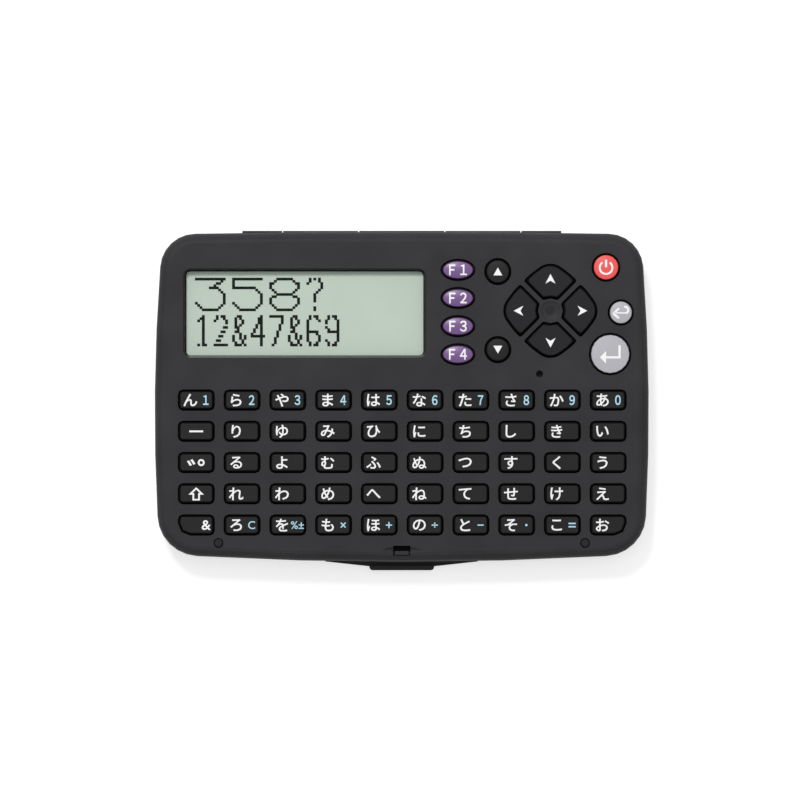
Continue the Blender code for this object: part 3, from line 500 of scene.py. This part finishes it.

# The window's border: a narrow line of black ink, screen-printed on the acrylic just inside the bead. It is
# a little wider at the top and at the sides than at the bottom, and this extra width is painted shadow of
# the opening's wall.
border_least = 0.00008
border_painted_shadow = {"left": 0.00020, "right": 0.00015, "top": 0.00022, "bottom": 0.00005}
border_corner = bead_corner - bevel_width
window_border = open_sheet("window_border", -frame_play, window_high.z + frame_play, border_corner)
bpy.ops.mesh.inset(thickness=border_least)
bpy.ops.object.mode_set(mode="OBJECT")
inner = [face for face in window_border.data.polygons if face.select][0]
# The inner edge moves in by a painted shadow's width, which differs from side to side.
for index in inner.vertices:
    corner = window_border.data.vertices[index].co
    corner.x += border_painted_shadow["left"] if corner.x < opening_middle.x else -border_painted_shadow["right"]
    corner.y += border_painted_shadow["bottom"] if corner.y < opening_middle.y else -border_painted_shadow["top"]
bpy.ops.object.mode_set(mode="EDIT")
bpy.ops.mesh.delete(type="FACE")
bpy.ops.object.mode_set(mode="OBJECT")
border_ink_and_shadow = moulded(
    "border_ink_and_shadow", from_screen(14, 18, 15), roughness=0.50, grain=0.0002, depth=0.000002, tone=0.05,
    shine=0.1
)
window_border.data.materials.append(border_ink_and_shadow)
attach(window_border, "housing")

# The front case: the face with all its openings, moulded in the same grained black plastic as the rear case.
# Little light reaches down the openings, so their walls are painted near-black below the face as painted
# shade.
opening_depths = (0.00040, 0.00075)
opening_shade = 0.85
opening_painted_shade = (0.001, 0.001, 0.001, 1)
openings_middle = 0.0008
openings_half = (0.0560, 0.0370)
openings_corner = 0.0862
front_black = moulded(
    "front_black", from_screen(53, 52, 54), roughness=0.55, grain=0.00022, depth=0.00002, shine=0.08
)
tree = front_black.node_tree
centred = tree.nodes.new("ShaderNodeMapping")
feed(tree, centred.inputs["Location"], (0, -openings_middle, 0))
feed(tree, centred.inputs["Vector"], tree.nodes.new("ShaderNodeTexCoord").outputs["Object"])
spread = tree.nodes.new("ShaderNodeVectorMath")
spread.operation = "ABSOLUTE"
feed(tree, spread.inputs[0], centred.outputs["Vector"])
parted = tree.nodes.new("ShaderNodeSeparateXYZ")
feed(tree, parted.inputs["Vector"], spread.outputs["Vector"])
across, up = parted.outputs["X"], parted.outputs["Y"]
opening_heights = (face_height - opening_depths[1], face_height - opening_depths[0])
share = add_range(tree, parted.outputs["Z"], opening_heights, (opening_shade, 0))
# The painted shade stays within the field of openings, so that the case's edge and its cut corners keep
# their own black.
for reach, limit in ((across, openings_half[0]), (up, openings_half[1]),
                     (add_math(tree, "ADD", across, up), openings_corner)):
    share = add_math(tree, "MULTIPLY", share, add_math(tree, "LESS_THAN", reach, limit))
lay_over(front_black, share, opening_painted_shade)
finish_node("front_case", front_black)

# The letter keys: fifty black caps with a smoother face than the case, with painted shade down their edges
# where they run down into the openings. Each carries one printed sign of the plain syllabary in its usual
# order, and the first and last rows carry digits and signs of arithmetic too.
edge_shade_share = 0.06
cap_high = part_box("key_digit_1")[1].z
edge_full = cap_high - 0.00001
edge_shade_low = cap_high - 0.00006
print_height = 0.00002
column_signs = [["ん", "ー", "゛", "⇧", "&"], "らりるれろ", "やゆよわを", "まみむめも", "はひふへほ",
                "なにぬねの", "たちつてと", "さしすせそ", "かきくけこ", "あいうえお"]
letter_size = 0.0038
letter_shape = (0.96, 0.92)
letter_weight = 0.014
letter_weights = {"ぬ": 0.005, "ー": 0.01, "゛": 0.01}
letter_left = 0.0014
print_slip = Vector((0.00006, -0.00006, 0.000006))
first_column_shifts = {"゛": -0.0012, "&": 0.0024}
first_column_sizes = {"ー": 0.0042, "゛": 0.0068, "⇧": 0.0042, "&": 0.0036}
digit_signs = "１２３４５６７８９０"
digit_size = 0.0030
digit_shape = (0.78, 1)
digit_weight = 0.02
digit_right = 0.0023
last_row = 4
last_row_signs = ["", "C", "%±", "×", "+", "÷", "−", "・", "=", ""]
sum_size = 0.0031
sum_sizes = {"C": 0.0027, "%±": 0.0026, "・": 0.0026, "=": 0.0036}
sum_weight = 0.005


def paint_edge_shade(finish, full, dark, share):
    """Paints shade on a moulding down its edge: darker and duller from one height to a lower one."""
    dull = 0.9
    tree = finish.node_tree
    base, rough = [tree.nodes["Principled BSDF"].inputs[name] for name in ("Base Color", "Roughness")]
    own_colour, own_roughness = base.links[0].from_socket, rough.links[0].from_socket
    height = object_height(tree)
    shade = tree.nodes.new("ShaderNodeVectorMath")
    shade.operation = "SCALE"
    feed(tree, shade.inputs[0], own_colour)
    feed(tree, shade.inputs["Scale"], add_range(tree, height, (dark, full), (share, 1)))
    feed(tree, base, shade.outputs["Vector"])
    feed(tree, rough, add_range(tree, height, (dark, full), (dull, own_roughness)))


def print_sign(sign, place, size, ink, weight, shape=(1, 1)):
    """A sign printed flat with its middle at a place, drawn out across and up by its shape."""
    curve_steps = 3
    bpy.ops.object.select_all(action="DESELECT")
    bpy.ops.object.text_add()
    mark = bpy.context.object
    mark.data.body = sign
    mark.data.size = size
    mark.data.offset = weight * size
    mark.data.resolution_u = curve_steps
    bpy.ops.object.convert(target="MESH")
    mark = bpy.context.object
    across = [corner.co.x for corner in mark.data.vertices]
    up = [corner.co.y for corner in mark.data.vertices]
    middle = Vector(((min(across) + max(across)) / 2, (min(up) + max(up)) / 2, 0))
    for corner in mark.data.vertices:
        shifted = corner.co - middle
        corner.co = Vector((place[0] + shifted.x * shape[0], place[1] + shifted.y * shape[1], place[2]))
    mark.data.materials.clear()
    mark.data.materials.append(ink)
    return mark


def join_signs(marks, node):
    """All the signs on one key as one piece that moves with it."""
    bpy.ops.object.select_all(action="DESELECT")
    for mark in marks:
        mark.select_set(True)
    bpy.context.view_layer.objects.active = marks[0]
    if len(marks) > 1:
        bpy.ops.object.join()
    print_piece = bpy.context.view_layer.objects.active
    print_piece.name = f"print_{node}"
    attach(print_piece, node)


key_black = moulded(
    "key_black", from_screen(31, 31, 31), roughness=0.46, grain=0.00012, depth=0.000006, tone=0.06
)
# Painted shade: the caps' colour darkens down their edges.
paint_edge_shade(key_black, edge_full, edge_shade_low, edge_shade_share)
ink_white = moulded(
    "ink_white", from_screen(243, 243, 243), roughness=0.6, grain=0.0002, depth=0.000002, tone=0.01
)
ink_blue = moulded(
    "ink_blue", from_screen(176, 220, 234), roughness=0.6, grain=0.0002, depth=0.000002, tone=0.01
)
single_low, single_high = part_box("key_digit_1")
for column, signs in enumerate(column_signs):
    digit_node = f"key_digit_{(column + 1) % 10}"
    upper_node = f"key_pair_upper_{column + 1}"
    lower_node = f"key_pair_lower_{column + 1}"
    low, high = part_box(digit_node)
    finish_node(digit_node, key_black)
    middle = (low + high) / 2
    height = high.z + print_height
    join_signs([
        print_sign(signs[0], (middle.x - letter_left, middle.y, height), letter_size, ink_white,
                   letter_weight, letter_shape),
        print_sign(digit_signs[column], (middle.x + digit_right, middle.y, height), digit_size, ink_blue,
                   digit_weight, digit_shape),
    ], digit_node)
    for first_row, node in ((1, upper_node), (3, lower_node)):
        finish_node(node, key_black)
        low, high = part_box(node)
        pair_middle = (low.y + high.y) / 2
        pitch = (high.y - low.y) - (single_high.y - single_low.y)
        marks = []
        for row, y in ((first_row, pair_middle + pitch / 2), (first_row + 1, pair_middle - pitch / 2)):
            sign = signs[row]
            shift = first_column_shifts.get(sign, 0) if column == 0 else -letter_left
            size = first_column_sizes[sign] if column == 0 else letter_size
            weight = letter_weights.get(sign, letter_weight)
            place = Vector((middle.x + shift, y, height))
            marks.append(print_sign(sign, place, size, ink_white, weight, letter_shape))
            # This sign breaks up when it is thickened, so it is printed thin, twice, with a slight slip.
            if sign == "ぬ":
                marks.append(print_sign(sign, place + print_slip, size, ink_white, weight, letter_shape))
            if sign == "゛":
                marks.append(print_sign("゜", (middle.x - shift, y, height), size, ink_white, weight))
            sum_sign = last_row_signs[column] if row == last_row else ""
            if sum_sign:
                place = (middle.x + digit_right, y, height)
                size = sum_sizes.get(sum_sign, sum_size)
                marks.append(print_sign(sum_sign, place, size, ink_blue, sum_weight))
        join_signs(marks, node)

# The four mode keys: purple ovals, moulded with a satin crowned face. Plain white key names are printed on
# the crowns.
crown_seat = 0.000005
crown_root = 0.00010
crown_play = 0.00003
crown_sides = 48
crown_rings = 180
crown_smooth = math.radians(30)
cut_reach = 0.0000001
mode_rise = 0.00030
mode_sign_size = 0.0033
mode_sign_weight = 0.02
mode_sign_shape = (0.85, 1)


def find_rim(node):
    """The middle of a key's flat top, and how far a dome on it reaches across and up."""
    rim = [corner.co for corner in nodes[node].data.vertices if corner.co.z > edge_full]
    low_x, high_x = min(corner.x for corner in rim), max(corner.x for corner in rim)
    low_y, high_y = min(corner.y for corner in rim), max(corner.y for corner in rim)
    middle = Vector(((low_x + high_x) / 2, (low_y + high_y) / 2, cap_high))
    return middle, ((high_x - low_x) / 2 - crown_play, (high_y - low_y) / 2 - crown_play)


def crown_keys(names, finish, rise):
    """The low domes that the faces of like keys are moulded to: a cap cut from a large ball and drawn out
    across, then copied from key to key. Gives back each dome's middle and reach."""
    rims = [find_rim(node) for node in names]
    middle, reach = rims[0]
    ball = (reach[1] ** 2 + rise ** 2) / (2 * rise)
    bpy.ops.object.select_all(action="DESELECT")
    bpy.ops.mesh.primitive_uv_sphere_add(
        segments=crown_sides, ring_count=crown_rings, radius=ball,
        location=(middle.x, middle.y, middle.z + rise - ball)
    )
    first_crown = bpy.context.object
    first_crown.scale.x = reach[0] / reach[1]
    bpy.ops.object.transform_apply(location=True, rotation=True, scale=True)
    bpy.ops.object.mode_set(mode="EDIT")
    bpy.ops.mesh.select_all(action="SELECT")
    bpy.ops.mesh.bisect(
        plane_co=(0, 0, cap_high - crown_seat), plane_no=(0, 0, 1), clear_inner=True, threshold=cut_reach
    )
    bpy.ops.mesh.select_mode(type="EDGE")
    bpy.ops.mesh.select_all(action="DESELECT")
    bpy.ops.mesh.select_non_manifold()
    bpy.ops.mesh.extrude_edges_move(TRANSFORM_OT_translate={"value": (0, 0, -crown_root)})
    bpy.ops.mesh.edge_face_add()
    bpy.ops.mesh.select_all(action="SELECT")
    bpy.ops.mesh.normals_make_consistent(inside=False)
    bpy.ops.object.mode_set(mode="OBJECT")
    bpy.ops.object.shade_smooth_by_angle(angle=crown_smooth)
    first_crown.data.materials.append(finish)
    crowns = [first_crown] + [copy_piece(first_crown, other - middle) for other, _ in rims[1:]]
    for node, crown in zip(names, crowns):
        finish_node(node, finish)
        crown.name = f"crown_{node}"
        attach(crown, node)
    return rims


def lay_on_crown(mark, middle, reach, rise):
    """Bends a flat printed sign over the dome that it is printed on."""
    bend_cuts = 3
    pick(mark)
    bpy.ops.object.mode_set(mode="EDIT")
    bpy.ops.mesh.select_all(action="SELECT")
    bpy.ops.mesh.subdivide(number_cuts=bend_cuts)
    bpy.ops.object.mode_set(mode="OBJECT")
    for corner in mark.data.vertices:
        across = (corner.co.x - middle.x) / reach[0]
        up = (corner.co.y - middle.y) / reach[1]
        corner.co.z += rise * (1 - across ** 2 - up ** 2)


def crown_and_print(names, signs, finish, rise, size, weight, shape=(1, 1)):
    """The domes of like keys, with a sign printed on each."""
    for node, sign, (middle, reach) in zip(names, signs, crown_keys(names, finish, rise)):
        place = (middle.x, middle.y, cap_high + print_height)
        mark = print_sign(sign, place, size, ink_white, weight, shape)
        lay_on_crown(mark, middle, reach, rise)
        join_signs([mark], node)


mode_purple = moulded(
    "mode_purple", from_screen(118, 86, 138), roughness=0.34, grain=0.0002, depth=0.000003, tone=0.05,
    shine=0.4
)
# Painted shade down the edges of the mode keys.
paint_edge_shade(mode_purple, edge_full, edge_shade_low, edge_shade_share)
mode_keys = [f"key_mode_{number}" for number in range(1, 5)]
crown_and_print(
    mode_keys, ["Ｆ" + digit for digit in digit_signs[:4]], mode_purple, mode_rise,
    mode_sign_size, mode_sign_weight, mode_sign_shape
)

# The round keys: two black ones with triangles, a red one that switches on and off, and two grey ones that
# go back and enter. They are crowned like the mode keys, and their signs are the plain ones of such keys.
bright_shade_high = cap_high - 0.00006
bright_shade_low = cap_high - 0.00012
bright_shade_share = 0.01
step_rise = 0.00012
step_sign_shape = (0.97, 1)
small_rise = 0.00018
enter_rise = 0.00022
stroke = 0.00055
arm = 0.0025
arm_rise = 0.0021
line_y = -0.0008
head = 0.0015


def print_shape(corners, height, ink):
    """A sign with straight edges, printed flat."""
    bpy.ops.object.select_all(action="DESELECT")
    bpy.ops.mesh.primitive_circle_add(vertices=len(corners), fill_type="NGON")
    mark = bpy.context.object
    for corner, (x, y) in zip(mark.data.vertices, corners):
        corner.co = (x, y, height)
    bpy.ops.object.mode_set(mode="EDIT")
    bpy.ops.mesh.select_all(action="SELECT")
    bpy.ops.mesh.quads_convert_to_tris()
    bpy.ops.object.mode_set(mode="OBJECT")
    if mark.data.polygons[0].normal.z < 0:
        mark.data.flip_normals()
    mark.data.materials.append(ink)
    return mark


step_black = moulded(
    "step_black", from_screen(31, 31, 31), roughness=0.46, grain=0.00012, depth=0.000006, tone=0.06
)
power_red = moulded(
    "power_red", from_screen(236, 86, 84), roughness=0.34, grain=0.0002, depth=0.000003, tone=0.03,
    shine=0.4
)
key_grey = moulded(
    "key_grey", from_screen(177, 176, 182), roughness=0.34, grain=0.0002, depth=0.000003, tone=0.03,
    shine=0.4
)
# Painted shade down the edges of the round keys; on the red and grey ones it starts a little lower.
paint_edge_shade(step_black, edge_full, edge_shade_low, edge_shade_share)
paint_edge_shade(power_red, bright_shade_high, bright_shade_low, bright_shade_share)
paint_edge_shade(key_grey, bright_shade_high, bright_shade_low, bright_shade_share)
crown_and_print(
    ["key_previous", "key_next"], "▲▼", step_black, step_rise, size=0.0024, weight=0,
    shape=step_sign_shape
)
crown_and_print(["key_power"], "⏻", power_red, small_rise, size=0.0042, weight=0.01)
crown_and_print(["key_back"], "↩", key_grey, small_rise, size=0.0040, weight=0.02)
(middle, reach), = crown_keys(["key_enter"], key_grey, enter_rise)
enter_corners = [
    (-arm, line_y), (-arm + head, line_y - head), (-arm + head, line_y - stroke / 2),
    (arm, line_y - stroke / 2), (arm, arm_rise), (arm - stroke, arm_rise),
    (arm - stroke, line_y + stroke / 2), (-arm + head, line_y + stroke / 2), (-arm + head, line_y + head),
]
enter_corners = [(middle.x + x, middle.y + y) for x, y in enter_corners]
mark = print_shape(enter_corners, cap_high + print_height, ink_white)
lay_on_crown(mark, middle, reach, enter_rise)
join_signs([mark], "key_enter")

# The arrow keys: four wedges round a dish, moulded in black plastic like the letter keys. Each has a white
# arrowhead printed on it that points away from the dish.
arrow_tip = 0.0088
arrow_end = 0.0065
arrow_notch = 0.0072
arrow_half = 0.0012
arrow_black = moulded(
    "arrow_black", from_screen(29, 29, 33), roughness=0.46, grain=0.00012, depth=0.000006, tone=0.06
)
# Painted shade down the edges of the arrow keys.
paint_edge_shade(arrow_black, edge_full, edge_shade_low, edge_shade_share)
wedge_boxes = {way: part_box(f"key_{way}") for way in ("up", "left", "down", "right")}
pad_middle = sum((*wedge_boxes["up"], *wedge_boxes["down"]), Vector()) / 4
arrowhead = [(0, arrow_tip), (-arrow_half, arrow_end), (0, arrow_notch), (arrow_half, arrow_end)]
for way, (_, high) in wedge_boxes.items():
    finish_node(f"key_{way}", arrow_black)
    corners = [(pad_middle.x + x, pad_middle.y + y) for x, y in arrowhead]
    join_signs([print_shape(corners, high.z + print_height, ink_white)], f"key_{way}")
    arrowhead = [(-y, x) for x, y in arrowhead]

# The rubber dots: two soft black studs, set in shallow round recesses at the lower corners of the face. They
# keep the closed lid off it.
dot_rubber = moulded("dot_rubber", from_screen(38, 38, 38), roughness=0.75, grain=0.0003, depth=0.00001)
finish_node("bumper_left", dot_rubber)
finish_node("bumper_right", dot_rubber)

# The hinge: a black moulded link on two plain steel pins. One pin holds it to the knuckles of the rear case
# and the other to those of the lid, so that the lid folds flat behind the body.
lid_black = moulded("lid_black", from_screen(50, 49, 52), roughness=0.50, grain=0.00022, depth=0.00002)
pin_steel = metal("pin_steel", (0.55, 0.55, 0.56), roughness=0.30, brush=0.0003)
finish_node("hinge_link", lid_black)
finish_node("hinge_pin_body", pin_steel)
finish_node("hinge_pin_lid", pin_steel)

# The lid: a shallow tray with a thumb tab and a hook, moulded in a slightly smoother and darker black than
# the cases. It hangs on the hinge's second pin.
finish_node("lid", lid_black)
